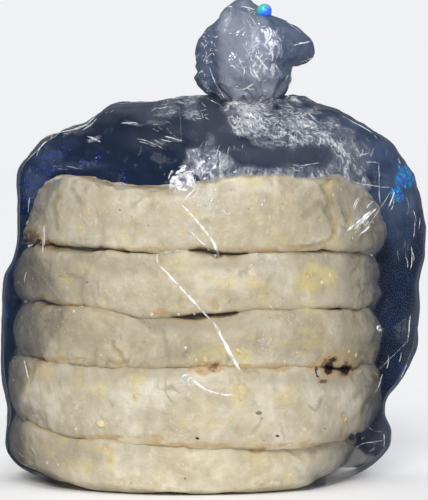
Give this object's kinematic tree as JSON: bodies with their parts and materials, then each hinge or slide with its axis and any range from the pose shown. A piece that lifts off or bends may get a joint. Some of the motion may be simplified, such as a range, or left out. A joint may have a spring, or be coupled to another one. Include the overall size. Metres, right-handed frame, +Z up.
{
  "type": "bag of arepa corn cakes",
  "caption": "Tied clear plastic bag round a stack of thick white corn arepas, with puffed head space, a loose side pocket and a gathered, crumpled top.",
  "frame": {"origin": "centre of the base, on the surface the bag stands on", "axes": "+Z up through the stack, +X to the side with the loose pocket, -Y to the front shown in the picture"},
  "size_m": [0.1166, 0.105, 0.133],
  "materials": {
    "film": "thin clear crinkled film, darker navy where it stands loose",
    "corn_cake": "moist matt white corn dough with yellow hull flecks and light toasting"
  },
  "bodies": {
    "root": {"bag": "film"}
  },
  "joints": []
}
